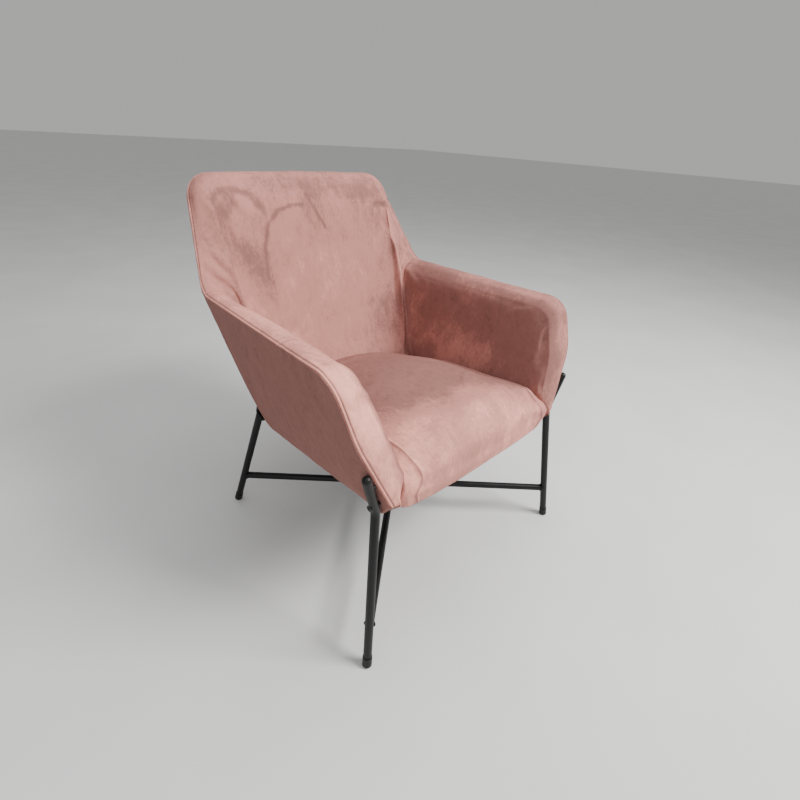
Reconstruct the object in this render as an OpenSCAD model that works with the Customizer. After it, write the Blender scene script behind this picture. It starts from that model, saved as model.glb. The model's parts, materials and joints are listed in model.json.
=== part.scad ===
// Upholstered bucket armchair on a bent tube frame.
// Millimetres, +Z up, the front faces -Y. Left is the -X side, as seen from in front.
// The origin is on the floor, under the middle of the whole chair.

/* [Shell] */
// Height of the back's top edge at its middle
back_height = 756; // [720:1:790]
// Half the width of the back's top edge, at its square corner
back_half_w = 247; // [225:1:265]
// How far back the top edge leans from the origin
back_depth = 338; // [310:1:360]
// Height of the notch where each arm meets the back
notch_height = 551; // [530:1:570]
// Height of the arms at their front corners
arm_height = 560; // [535:1:585]
// Half the width over the arms
arm_half_w = 307; // [285:1:325]
// Where the arms' front corners stand, forward of the origin
arm_front = 244; // [225:1:260]
// Half the width of the shell at its lower front corners
front_half_w = 227; // [215:1:240]
// Where the shell's lower front corners stand, forward of the origin
shell_front = 311; // [300:1:320]
// Half the width of the shell at its lower rear corners
rear_half_w = 245; // [230:1:255]
// Height of the underside at the middle of the chair
base_height = 286; // [270:1:300]
// Slope of the underside, down towards the back, in degrees
base_tilt = 3.2; // [0:0.1:6]
// How far the back bows out at its middle, along the rim
rim_bow = 12; // [0:1:16]
// How far the back bows out at its middle, along the hem
hem_bow = 60; // [20:1:70]
// How far the lower back swells out behind a straight line
back_swell = 40; // [20:1:50]
// How far the arms swell out
arm_swell = 8; // [0:1:14]
// Padded thickness of the back and arms
wall = 56; // [50:1:64]
// Height that the padded edge is crowned
edge_crown = 7; // [2:1:10]

/* [Upholstery] */
// Thickness of the cover cloth
cloth = 2; // [1:0.5:3]
// Thickness of the wadding under the outside cover
wadding = 3; // [2:0.5:4]
// Thickness of the moulded shell boards
board = 10; // [8:1:12]
// Height of the seat at its crown, above the floor
seat_height = 414; // [400:1:430]
// Thickness of the flat seat board
seat_board_t = 12; // [9:1:15]

/* [Frame] */
// Outer diameter of the legs and the stretcher
tube_d = 16; // [14:1:20]
// Wall thickness of the tube
tube_wall = 1.5; // [1:0.1:2]
// Half the distance between the front feet
front_foot_x = 301; // [285:1:315]
// Where the front feet stand, forward of the origin
front_foot_y = 336; // [320:1:345]
// Half the distance between the rear feet
rear_foot_x = 290; // [275:1:305]
// Where the rear feet stand, behind the origin
rear_foot_y = 216; // [200:1:235]
// Height of the crossed stretcher bars
stretcher_height = 90; // [80:1:120]
// Radius of the bend below each front stub, along the tube's middle
bend_radius = 42; // [30:1:60]

/* [Hidden] */
$fn = 48;

// ---- Colours ----
velvet = "#b77f7b";
foam_c = "#e9e2c8";
wood_c = "#c8a878";
steel_c = "#1c1c1e";
zinc_c = "#9a9ca0";

// ---- Curves ----
function unit(v) = v / norm(v);
function ease(x) = let (c = min(1, max(0, x))) c * c * (3 - 2 * c);
function mix(a, b, f) = a * (1 - f) + b * f;

// An arc of radius r that rounds the corner b between a and c, as n + 1 points
function corner_arc(a, b, c, r, n) =
    let (p = unit(a - b))
    let (q = unit(c - b))
    let (half = acos(p * q) / 2)
    let (centre = b + unit(p + q) * r / sin(half))
    let (e0 = (b + p * r / tan(half) - centre) / r)
    let (e1 = (b + q * r / tan(half) - centre) / r)
    let (w = acos(e0 * e1))
    [for (i = [0:n]) centre + r * (sin((1 - i / n) * w) * e0 + sin(i / n * w) * e1) / sin(w)];

function rounded(p, radii, n) = [
    p[0],
    for (i = [1:len(p) - 2]) each corner_arc(p[i - 1], p[i], p[i + 1], radii[i - 1], n),
    p[len(p) - 1]
];

// The running length at each point of a curve, as a fraction of its whole length
function running(c) =
    let (sums = [for (i = 0, s = 0; i < len(c); s = s + norm(c[min(i + 1, len(c) - 1)] - c[i]), i = i + 1) s])
    sums / sums[len(c) - 1];

// One coordinate of a curve as a table for lookup()
function table(c, k) = let (r = running(c)) [for (i = [0:len(c) - 1]) [r[i], c[i][k]]];

// ---- The shell's outer surface ----
arc_n = 8;
function underside(y) = base_height - tan(base_tilt) * y;

rim = rounded([
    [0, back_depth - 3 + rim_bow, back_height],
    [back_half_w, back_depth - 3, back_height - 3],
    [arm_half_w - 10, 205, notch_height],
    [arm_half_w, -arm_front, arm_height],
    [arm_half_w - 15, -arm_front - 42, arm_height - 98],
    [front_half_w, -shell_front, underside(-shell_front) + 5]
], [62, 48, 50, 130], arc_n);

hem = rounded([
    [0, 124 + hem_bow, underside(150)],
    [rear_half_w, 124, underside(124)],
    [rear_half_w - 7, -160, underside(-160)],
    [front_half_w + 2, 13 - shell_front, underside(13 - shell_front)]
], [70, 70], arc_n);

rim_x = table(rim, 0);
rim_y = table(rim, 1);
rim_z = table(rim, 2);
hem_x = table(hem, 0);
hem_y = table(hem, 1);
hem_z = table(hem, 2);

// A station s runs from 0, the middle of the back, to 4, where the rim meets the hem. The arms end
// short of that, at 3.9, on the seat's front panel.
// 1 is the back's top corner, 2 the notch and 3 the arm's front corner.
rim_run = running(rim);
hem_run = running(hem);
function arc_middle(run, i) = run[1 + (i - 1) * (arc_n + 1) + arc_n / 2];
rim_knots = [[0, 0], [1, arc_middle(rim_run, 1)], [2, arc_middle(rim_run, 2)],
             [3, arc_middle(rim_run, 3)], [4, 1]];
hem_knots = [[0, 0], [1, hem_run[1] * 0.96], [2, hem_run[1 + arc_n] * 1.02],
             [3, arc_middle(hem_run, 2)], [4, 1]];

function rim_at(s) = let (f = lookup(s, rim_knots)) [lookup(f, rim_x), lookup(f, rim_y), lookup(f, rim_z)];
function hem_at(s) = let (f = lookup(s, hem_knots)) [lookup(f, hem_x), lookup(f, hem_y), lookup(f, hem_z)];

// The direction of the padded thickness, level, from behind the back to beside the arms
function facing(s) = 90 * ease((s - 0.5) / 1.625);
function outward(s) = [sin(facing(s)), cos(facing(s)), 0];
function swell(s, v) =
    (arm_swell + (back_swell - arm_swell) * pow(cos(facing(s)), 2)) * sin(180 * pow(v, 0.62));

// The two halves of the back meet in a soft curve, not in a ridge
function ridge(s, v) = mix(hem_bow, rim_bow, v) * 0.4 * pow(max(0, 1 - s / 0.8), 2);
// The way out of the padding at the rim, square to the rim
function past_rim(s) =
    let (along = unit(rim_at(s + 0.03) - rim_at(s - 0.03)))
    let (up = rim_at(s) - hem_at(s))
    unit(up - (up * along) * along);

// Inside the boards, the seam between the back and an arm leans into the corner on its way down
seam_lean = 0.85;
foam_in = cloth + wadding + board;
function seam_shift(s, v, t) =
    seam_lean * pow(1 - v, 1.4) * max(0, (t - foam_in) / (wall - foam_in))
    * (s < 2 ? ease((s - 0.4) / 1.6) : ease((3.6 - s) / 1.6));

// Towards an arm's lower front corner the padding thins, and the seat fills the room it leaves
pad_top = wall - cloth;
end_squeeze = wall - foam_in - cloth - 2;
function squeezed(s, t) =
    t - end_squeeze * ease((s - 3.68) / 0.22) * min(1, max(0, (t - foam_in) / (pad_top - foam_in)));

// A point of the shell: v from 0 at the hem to 1 at the rim, t into the padding, and
// e past the rim. A negative station is on the left side, the -X one.
function right_point(station, v, t, e) =
    let (s = station - seam_shift(station, v, t))
    let (low = hem_at(s))
    let (high = rim_at(s))
    mix(low, high, v) + outward(s) * (swell(s, v) - squeezed(s, t)) - [0, ridge(s, v), 0]
    + (v > 0.5 ? past_rim(s) : unit(high - low)) * e;
function shell(s, v, t = 0, e = 0) =
    let (p = right_point(abs(s), v, t, e)) s < 0 ? [-p.x, p.y, p.z] : p;
function crown(t) = edge_crown * sin(180 * t / wall);

// ---- Solids swept through rings of points ----
// Each ring is one line of points followed by its partner line, in the same order.
module loft(rings) {
    m = len(rings[0]);
    q = m / 2;
    last = len(rings) - 1;
    loop = [for (i = [0:q - 1]) i, for (i = [0:q - 1]) m - 1 - i];
    // Both lines split their quads along the same diagonal, so a thin layer keeps its thickness
    sides = [for (k = [0:last - 1]) for (i = [0:m - 1])
        let (a = k * m + loop[i])
        let (b = k * m + loop[(i + 1) % m])
        each i < q ? [[a, b, b + m], [a, b + m, a + m]] : [[a, b, a + m], [b, b + m, a + m]]];
    caps = [for (i = [0:q - 2]) each [
        [i, i + q, i + 1], [i + 1, i + q, i + q + 1],
        [last * m + i, last * m + i + 1, last * m + i + q],
        [last * m + i + 1, last * m + i + q + 1, last * m + i + q]]];
    polyhedron([for (r = rings) each r], concat(sides, caps));
}

// A layer of the shell between the lines a and b, each a list of [v, t, e]
module layer(stations, a, b) {
    loft([for (s = stations) [
        for (p = a) shell(s, p[0], p[1], p[2]),
        for (p = b) shell(s, p[0], p[1], p[2])]]);
}

back_stations = [-2, -1.8, -1.6, -1.4, -1.2, -1.08, -1, -0.92, -0.8, -0.55, -0.28, 0,
                 0.28, 0.55, 0.8, 0.92, 1, 1.08, 1.2, 1.4, 1.6, 1.8, 2];
arm_stations = [2.02, 2.1, 2.2, 2.4, 2.65, 2.85, 2.95, 3, 3.05, 3.12, 3.25, 3.45, 3.66, 3.73, 3.8, 3.86, 3.9];

heights = [0, 0.06, 0.15, 0.28, 0.45, 0.65, 0.85, 1];
board_in = cloth + wadding;
board_top = 0.965;
function up_line(t, from, to, e = 0) = [for (v = heights) [from + (to - from) * v, t, e]];

module outside_cover(stations) {
    color(velvet)
    difference() {
        layer(stations,
              concat([[0, foam_in + 12, -cloth], [0, 0, -cloth]], up_line(0, 0, 1)),
              concat([[0, foam_in + 12, 0], [0, cloth, 0]], up_line(cloth, 0, 1)));
        bolt_paths(hole_r);
    }
}

module wadding_layer(stations) {
    color(foam_c)
    difference() {
        layer(stations, up_line(cloth, 0.01, board_top), up_line(board_in, 0.01, board_top));
        bolt_paths(hole_r);
    }
}

module shell_board(stations) {
    color(wood_c)
    difference() {
        layer(stations, up_line(board_in, 0.01, board_top), up_line(foam_in, 0.01, board_top));
        bolt_paths(nut_r);
    }
}

// The pad starts above the seat board, and its top follows the crown of the edge
pad_foot = 0.08;
skin_drop = cloth + 1.5;
module pad(stations) {
    color(foam_c)
    layer(stations,
          concat(up_line(foam_in, pad_foot, 1, -1), [[1, foam_in + 5, crown(foam_in) - skin_drop]]),
          concat(up_line(pad_top, pad_foot, 1, -1), [[1, pad_top - 9, crown(pad_top - 4) - skin_drop]]));
}

module edge_roll(stations) {
    color(foam_c)
    layer(stations,
          [[board_top, cloth + 1, 0], [1, cloth + 1, -1], [1, cloth + 5, crown(cloth + 4) - skin_drop]],
          [[board_top, foam_in, 0], [1, foam_in, -1], [1, foam_in, crown(foam_in) - skin_drop]]);
}

// The inside cover lies on the pad and turns over the crowned edge to the outer seam
over_edge = [0.93, 0.72, 0.45, 0.2, 0.035];
module inside_cover(stations) {
    color(velvet)
    layer(stations,
          concat(up_line(wall, pad_foot, 1), [for (f = over_edge) [1, wall * f, crown(wall * f)]]),
          concat(up_line(pad_top, pad_foot, 1),
                 [for (f = over_edge) [1, min(wall * f, pad_top), crown(wall * f) - cloth]]));
}

// ---- Seat cushion ----
seat_front = shell_front + 9;
seat_rear = 168;
seat_base = seat_board_t + 2;
seat_line = rounded([
    [0, -seat_front + 10, underside(-seat_front) - 4],
    [0, -seat_front - 2, seat_height - 34],
    [0, -seat_front + 52, seat_height + 3],
    [0, -40, seat_height + 4],
    [0, seat_rear, underside(seat_rear) + 68]
], [30, 60, 320], 5);
seat_run = running(seat_line);

// Half the width of the cushion, between the leaning inner faces of the arms
function seat_half(y, z) =
    let (f = ease((y + seat_front) / (seat_front + 40)))
    let (up = z - underside(y))
    let (nose = 0.93 * end_squeeze * ease((-y - 258) / 38) * ease((384 - z) / 48))
    mix(front_half_w - wall + 0.44 * up, rear_half_w - wall - 8 + 0.2 * up, f) - 3 + nose;

// The cushion's rear edge curves forward to its sides, as the back does
function seat_y(y, f) = -seat_front + (y + seat_front) * (1 - 0.12 * pow(abs(f), 2));

// One ring of the cushion at the side fraction f, drawn in by d all round
function seat_ring_top(f, d) = [for (p = seat_line)
    let (side = pow(abs(f), 3))
    let (fall = 0.31 + 0.21 * ease((p.y + 270) / 180))
    let (top = p.z - (p.z - underside(p.y) - seat_base) * fall * side)
    let (z = top - d * ease((p.z - underside(p.y) - 40) / 30))
    let (y = seat_y(p.y, f) + (p.y < -seat_front + 60 ? d : 0) + 7 * side * ease((-p.y - 200) / 100))
    [f * (seat_half(p.y, top) - d * abs(f)), y, z]];
function seat_ring_low(f, d) = [for (i = [0:len(seat_line) - 1])
    let (g = seat_run[i])
    let (y = seat_y(mix(seat_line[0].y + 22, seat_rear - 40, g), f))
    let (z = underside(y) + seat_base)
    [f * (seat_half(y, z) - d * abs(f)), y, z]];
seat_fractions = [-1, -0.95, -0.86, -0.7, -0.45, -0.2, 0, 0.2, 0.45, 0.7, 0.86, 0.95, 1];
panel_edge = 0.86;

module seat_skin(fractions) {
    color(velvet)
    loft([for (f = fractions) concat(seat_ring_top(f, 0), seat_ring_top(f, cloth))]);
}

// ---- Placing round parts ----
// Points the children's +Z along d from the point a
module aim(a, d) {
    translate(a)
    rotate([0, acos(d.z / norm(d)), atan2(d.y, d.x)])
    children();
}

module rod(a, b, r) {
    aim(a, b - a) cylinder(h = norm(b - a), r = r);
}

// A bent tube along a flat line of points, with outer radius r and a bore of radius hole
tube_sides = 32;
function tube_ring(p, d, n, r) =
    [for (i = [0:tube_sides - 1])
        let (turn = 360 * i / tube_sides)
        p + r * (cos(turn) * n + sin(turn) * cross(d, n))];
module bent_tube(line, r, hole) {
    last = len(line) - 1;
    n = unit(cross(line[1] - line[0], line[last] - line[last - 1]));
    q = tube_sides;
    points = [for (k = [0:last])
        let (d = unit(line[min(k + 1, last)] - line[max(k - 1, 0)]))
        each concat(tube_ring(line[k], d, n, r), tube_ring(line[k], d, n, hole / cos(180 / q)))];
    walls = [for (k = [0:last - 1]) for (i = [0:q - 1])
        let (a = k * 2 * q + i)
        let (b = k * 2 * q + (i + 1) % q)
        let (up = 2 * q)
        each [[a, a + up, b + up], [a, b + up, b],
              [a + q, b + q + up, a + q + up], [a + q, b + q, b + q + up]]];
    top = last * 2 * q;
    ends = [for (i = [0:q - 1])
        let (b = (i + 1) % q)
        each [[i, b, b + q], [i, b + q, i + q],
              [top + i, top + b + q, top + b], [top + i, top + i + q, top + b + q]]];
    polyhedron(points, concat(walls, ends));
}

// ---- Leg geometry, for the right side ----
tube_r = tube_d / 2;
bore_r = tube_r - tube_wall;
spacer_t = 2;
bend_steps = 6;
glide_r = tube_r + 1;
glide_sole = 4;
glide_round = 11;
function side_of(p, sx) = [sx * p.x, p.y, p.z];

front_foot = [front_foot_x, -front_foot_y, 0];
rear_foot = [rear_foot_x, rear_foot_y, 0];
// The stub runs up the shell's outer side, a spacer's thickness off it
stub_gap = tube_r + spacer_t;
front_bend = shell(3.83, 0.5, -stub_gap);
stub_top = shell(3.6, 0.98, -stub_gap);
function on_stub(f) = mix(front_bend, stub_top, f);

// The rear leg ends at a plate under the swell of the lower back
plate_station = 1.5;
plate_rise = 0.05;
function surface_normal(s, v) = unit(cross(shell(s, v + 0.01) - shell(s, v - 0.01),
                                           shell(s + 0.02, v) - shell(s - 0.02, v)));
plate_normal = surface_normal(plate_station, plate_rise);
plate_face = shell(plate_station, plate_rise) + plate_normal * 0.5;
plate_t = 4;
plate_w = 30;
plate_l = 56;
plate_hole = 20;
rear_top = plate_face + plate_normal * plate_t;

function on_leg(foot, top, z) = mix(foot, top, z / top.z);
front_join = on_leg(front_foot, front_bend, stretcher_height);
rear_join = on_leg(rear_foot, rear_top, stretcher_height);

// ---- Fastener sizes: M6 ----
bolt_r = 3;
hole_r = 3.3;
head_r = 5.8;
head_h = 3.6;
nut_r = 4;
flange_r = 9;
flange_t = 1.5;
nut_depth = 8;
// On each front stub one bolt passes the tube, and above it a stud is welded to the tube
bolt_place = on_stub(0.19);
stud_place = on_stub(0.74);
inward = [-1, 0, 0];
bolt_seat = bolt_place - inward * (tube_r - 1.2);
function plate_bolt(k) = plate_face + plate_normal * plate_t + plate_across * k * plate_hole;
plate_across = unit(cross(plate_normal, [0, 0, 1]));

module bolt(seat, d, grip) {
    aim(seat, d) {
        translate([0, 0, -1]) cylinder(h = grip + 1, r = bolt_r);
        difference() {
            translate([0, 0, -head_h])
            rotate_extrude()
            intersection() {
                translate([0, -2.2]) circle(r = head_r);
                translate([0, 0]) square([head_r, head_h]);
            }
            translate([0, 0, -head_h - 1]) cylinder(h = 3, r = 2.1, $fn = 6);
        }
    }
}

// ---- Legs ----
module front_leg() {
    a = on_leg(front_foot, front_bend, glide_sole + 1);
    bend = corner_arc(a, front_bend, stub_top, bend_radius, bend_steps);
    color(steel_c)
    difference() {
        bent_tube(concat([a], bend, [stub_top]), tube_r, bore_r);
        rod(bolt_seat - inward * tube_d, bolt_seat + inward * 2 * tube_d, hole_r);
    }
}

module rear_leg(sx) {
    a = side_of(on_leg(rear_foot, rear_top, glide_sole + 1), sx);
    b = side_of(rear_top, sx);
    color(steel_c)
    difference() {
        rod(a, b + unit(b - a) * 14, tube_r);
        rod(a - unit(b - a), b + unit(b - a) * 16, bore_r);
        aim(b, side_of(-plate_normal, sx)) cylinder(h = 60, r = 60);
    }
}

module foot_glide(foot, top) {
    middle = on_leg(foot, top, glide_round);
    color(steel_c)
    difference() {
        union() {
            aim(middle, foot - top)
            rotate_extrude()
            intersection() {
                circle(r = glide_round + 1.5);
                square([glide_r, 2 * glide_round]);
            }
            rod(middle, foot + unit(top - foot) * 22, glide_r);
        }
        rod(on_leg(foot, top, glide_sole + 1), foot + unit(top - foot) * 40, tube_r);
        translate([foot.x - 40, foot.y - 40, -40]) cube([80, 80, 40]);
    }
}

module tube_cap(sx) {
    a = side_of(stub_top, sx);
    d = side_of(stub_top - front_bend, sx);
    aim(a, d) {
        rotate_extrude()
        intersection() {
            circle(r = tube_r);
            square([tube_r, tube_r]);
        }
        translate([0, 0, -10]) cylinder(h = 10, r = bore_r);
    }
}

module tube_end_caps() {
    color(steel_c)
    for (sx = [-1, 1]) tube_cap(sx);
}

module rear_mount_plate(sx) {
    n = side_of(plate_normal, sx);
    across = side_of(plate_across, sx);
    mid = side_of(plate_face, sx);
    color(steel_c)
    difference() {
        aim(mid, n)
        rotate([0, 0, plate_turn(n, across)])
        linear_extrude(height = plate_t)
        union() {
            square([plate_l - plate_w, plate_w], center = true);
            for (k = [-1, 1]) translate([k * (plate_l - plate_w) / 2, 0]) circle(r = plate_w / 2);
        }
        for (k = [-1, 1])
            rod(mid + across * k * plate_hole - n * 5, mid + across * k * plate_hole + n * 10, hole_r);
    }
}

// The turn about n that brings the aimed +X onto the direction across
function plate_turn(n, across) =
    let (lean = acos(n.z))
    let (turn = atan2(n.y, n.x))
    atan2(across * [-sin(turn), cos(turn), 0],
          across * [cos(lean) * cos(turn), cos(lean) * sin(turn), -sin(lean)]);

// The straight way of every leg bolt through the shell
module bolt_paths(r) {
    for (sx = [-1, 1]) {
        for (p = [bolt_place, stud_place])
            rod(side_of(p, sx), side_of(p + inward * (stub_gap + foam_in + 6), sx), r);
        for (k = [-1, 1])
            rod(side_of(plate_bolt(k), sx), side_of(plate_bolt(k) - plate_normal * (foam_in + 12), sx), r);
    }
}

module leg_bolts() {
    color(steel_c)
    for (sx = [-1, 1]) {
        bolt(side_of(bolt_seat, sx), side_of(inward, sx), 33);
        rod(side_of(stud_place + inward * (tube_r - 1), sx),
            side_of(stud_place + inward * (stub_gap + foam_in + 4), sx), bolt_r);
        for (k = [-1, 1]) bolt(side_of(plate_bolt(k), sx), side_of(-plate_normal, sx), 22);
    }
}

module bolt_spacers() {
    color(steel_c)
    for (sx = [-1, 1]) for (p = [bolt_place, stud_place]) {
        aim(side_of(p + inward * (tube_r - 1), sx), side_of(inward, sx))
        difference() {
            cylinder(h = spacer_t + 1, r = 5);
            translate([0, 0, -1]) cylinder(h = spacer_t + 3, r = hole_r);
        }
    }
}

module tee_nut(p, d) {
    aim(p, d)
    difference() {
        union() {
            cylinder(h = flange_t, r = flange_r);
            translate([0, 0, flange_t - nut_depth]) cylinder(h = nut_depth, r = nut_r);
        }
        translate([0, 0, -nut_depth]) cylinder(h = 2 * nut_depth, r = bolt_r);
    }
}

module tee_nuts() {
    color(zinc_c)
    for (sx = [-1, 1]) {
        for (p = [bolt_place, stud_place])
            tee_nut(side_of(p + inward * (stub_gap + foam_in), sx), side_of(inward, sx));
        for (k = [-1, 1])
            tee_nut(side_of(plate_bolt(k) - plate_normal * (plate_t + foam_in + 1), sx),
                    side_of(-plate_normal, sx));
    }
}

// ---- Stretcher: one bar runs corner to corner, two half bars meet it ----
module stretcher_through_bar() {
    a = side_of(rear_join, -1);
    b = front_join;
    color(steel_c)
    difference() {
        rod(a, b, tube_r);
        rod(a - unit(b - a) * 20, b + unit(b - a) * 20, bore_r);
        rod(side_of(rear_foot, -1), side_of(rear_top, -1), tube_r);
        rod(front_foot, front_bend, tube_r);
    }
}

module stretcher_half_bar(joint, foot, top) {
    share = front_join.x / (front_join.x + rear_join.x);
    mid = [0, mix(front_join.y, rear_join.y, share), stretcher_height];
    color(steel_c)
    difference() {
        rod(joint, mid, tube_r);
        rod(joint + unit(joint - mid) * 20, mid, bore_r);
        rod(foot, top, tube_r);
        rod(side_of(rear_join, -1), front_join, tube_r);
    }
}

module weld_ring(joint, towards) {
    aim(joint + unit(towards - joint) * (tube_r - 2), towards - joint)
    difference() {
        cylinder(h = 5, r1 = tube_r + 3, r2 = tube_r + 0.4);
        translate([0, 0, -1]) cylinder(h = 7, r = tube_r);
    }
}

module weld_beads() {
    mid = [0, 0, stretcher_height] + [0, mix(front_join.y, rear_join.y, 0.5), 0];
    color(steel_c)
    for (sx = [-1, 1]) {
        weld_ring(side_of(front_join, sx), mid);
        weld_ring(side_of(rear_join, sx), mid);
    }
}

// ---- Boards under the seat ----
function plan(inset) = [for (k = [-13:13])
    let (p = shell(0.3 * k, 0, inset))
    [p.x, p.y / cos(base_tilt)]];

module tilted_sheet(inset, low, t) {
    translate([0, 0, base_height + low])
    rotate([-base_tilt, 0, 0])
    linear_extrude(height = t)
    polygon(plan(inset));
}

module staples() {
    color(zinc_c)
    for (k = [-3.6:0.4:3.7]) {
        p = shell(k, 0, foam_in + 9);
        translate([p.x, p.y, underside(p.y) - cloth - 1.6])
        rotate([-base_tilt, 0, 0])
        rotate([0, 0, k < 0 ? facing(-k) : -facing(k)])
        translate([-5, -0.6, 0])
        union() {
            cube([10, 1.2, 0.6]);
            translate([0, 0, 0.3]) cube([0.8, 1.2, 6]);
            translate([9.2, 0, 0.3]) cube([0.8, 1.2, 6]);
        }
    }
}

// Screws that hold the shell boards to the edge of the seat board
module board_screws() {
    color(zinc_c)
    for (s = [-3.2, -2.7, -2.3, -0.5, 0.5, 2.3, 2.7, 3.2]) {
        p = shell(s, 0, board_in);
        d = s < 0 ? side_of(-outward(-s), -1) : -outward(s);
        aim([p.x, p.y, underside(p.y) + seat_board_t / 2 + 1], d) {
            cylinder(h = 2.4, r1 = 4, r2 = 2);
            translate([0, 0, 1]) cylinder(h = 32, r = 2);
        }
    }
}

mirror([1, 0, 0]) front_leg();  // leg_front_left
front_leg();  // leg_front_right
rear_leg(-1);  // leg_rear_left
rear_leg(1);  // leg_rear_right
stretcher_through_bar();
stretcher_half_bar(side_of(front_join, -1), side_of(front_foot, -1), side_of(front_bend, -1));  // stretcher_half_bar_front
stretcher_half_bar(rear_join, rear_foot, rear_top);  // stretcher_half_bar_rear
weld_beads();
mirror([1, 0, 0]) foot_glide(front_foot, front_bend);  // foot_glide_front_left
foot_glide(front_foot, front_bend);  // foot_glide_front_right
mirror([1, 0, 0]) foot_glide(rear_foot, rear_top);  // foot_glide_rear_left
foot_glide(rear_foot, rear_top);  // foot_glide_rear_right
tube_end_caps();
rear_mount_plate(-1);  // rear_mount_plate_left
rear_mount_plate(1);  // rear_mount_plate_right
leg_bolts();
bolt_spacers();
tee_nuts();
color(wood_c) tilted_sheet(foam_in + 1, 0, seat_board_t);  // seat_board
shell_board(back_stations);  // back_board
mirror([1, 0, 0]) shell_board(arm_stations);  // arm_board_left
shell_board(arm_stations);  // arm_board_right
wadding_layer(back_stations);  // back_wadding
mirror([1, 0, 0]) wadding_layer(arm_stations);  // arm_wadding_left
wadding_layer(arm_stations);  // arm_wadding_right
pad(back_stations);  // back_foam
mirror([1, 0, 0]) pad(arm_stations);  // arm_foam_left
pad(arm_stations);  // arm_foam_right
edge_roll(back_stations);  // edge_roll_back
mirror([1, 0, 0]) edge_roll(arm_stations);  // edge_roll_left
edge_roll(arm_stations);  // edge_roll_right
outside_cover(back_stations);  // outside_back_cover
mirror([1, 0, 0]) outside_cover(arm_stations);  // outside_arm_cover_left
outside_cover(arm_stations);  // outside_arm_cover_right
inside_cover(back_stations);  // inside_back_cover
mirror([1, 0, 0]) inside_cover(arm_stations);  // inside_arm_cover_left
inside_cover(arm_stations);  // inside_arm_cover_right
color(foam_c) loft([for (f = seat_fractions) concat(seat_ring_top(f, cloth), seat_ring_low(f, cloth))]);  // seat_foam
/* seat_cover */ seat_skin([for (f = seat_fractions) if (abs(f) <= panel_edge) f]);
/* seat_end_panel_left */ seat_skin([for (f = seat_fractions) if (f <= -panel_edge) f]);
/* seat_end_panel_right */ seat_skin([for (f = seat_fractions) if (f >= panel_edge) f]);
color("#26262a") tilted_sheet(foam_in + 2, -cloth - 1, 1);  // dust_cover
staples();
board_screws();
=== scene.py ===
"""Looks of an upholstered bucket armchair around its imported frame. Metres, +Z up, the front faces -Y."""
import json
import math

import bpy
import numpy as np
from mathutils import Matrix, Vector


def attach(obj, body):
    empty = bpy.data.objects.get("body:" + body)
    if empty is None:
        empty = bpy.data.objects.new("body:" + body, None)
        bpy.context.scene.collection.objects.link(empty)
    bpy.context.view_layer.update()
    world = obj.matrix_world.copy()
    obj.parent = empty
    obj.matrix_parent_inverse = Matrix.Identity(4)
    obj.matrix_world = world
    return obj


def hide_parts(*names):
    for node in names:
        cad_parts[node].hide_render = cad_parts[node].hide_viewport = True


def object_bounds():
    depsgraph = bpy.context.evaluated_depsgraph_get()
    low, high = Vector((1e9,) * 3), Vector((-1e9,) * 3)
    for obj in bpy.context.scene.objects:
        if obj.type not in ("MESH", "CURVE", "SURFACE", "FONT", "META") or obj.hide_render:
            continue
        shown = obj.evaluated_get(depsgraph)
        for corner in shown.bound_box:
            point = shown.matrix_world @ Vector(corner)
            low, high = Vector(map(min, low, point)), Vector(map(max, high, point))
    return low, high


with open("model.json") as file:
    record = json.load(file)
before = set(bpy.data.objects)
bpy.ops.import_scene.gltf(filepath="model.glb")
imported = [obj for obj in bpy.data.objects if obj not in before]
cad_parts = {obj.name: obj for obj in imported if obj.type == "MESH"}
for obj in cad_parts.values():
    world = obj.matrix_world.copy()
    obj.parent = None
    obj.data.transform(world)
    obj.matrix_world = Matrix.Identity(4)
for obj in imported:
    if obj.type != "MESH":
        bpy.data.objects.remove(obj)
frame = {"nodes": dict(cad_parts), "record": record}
cad_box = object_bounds()
ROOT = "root"

# ---- Camera: at the photograph's viewing angle ----
CAMERA_AT = (-0.5915, -0.6680, 0.8386)
PITCH, ROLL, AZIMUTH = math.radians(30.94), math.radians(4.04), math.radians(-44.62)
LENS, SENSOR = 19.694, 36
NEAR, FAR = 0.05, 50


def make_camera():
    data = bpy.data.cameras.new("camera")
    data.lens, data.sensor_width, data.sensor_fit = LENS, SENSOR, "HORIZONTAL"
    data.clip_start, data.clip_end = NEAR, FAR
    camera = bpy.data.objects.new("camera", data)
    bpy.context.scene.collection.objects.link(camera)
    level = math.cos(PITCH)
    forward = Vector((-math.sin(AZIMUTH) * level, math.cos(AZIMUTH) * level, -math.sin(PITCH)))
    right = Vector((math.cos(AZIMUTH), math.sin(AZIMUTH), 0))
    up = right.cross(forward)
    x_axis = math.cos(ROLL) * right + math.sin(ROLL) * up
    y_axis = -math.sin(ROLL) * right + math.cos(ROLL) * up
    turn = Matrix((x_axis, y_axis, -forward)).transposed().to_4x4()
    camera.matrix_world = Matrix.Translation(CAMERA_AT) @ turn
    bpy.context.scene.camera = camera


make_camera()

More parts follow.
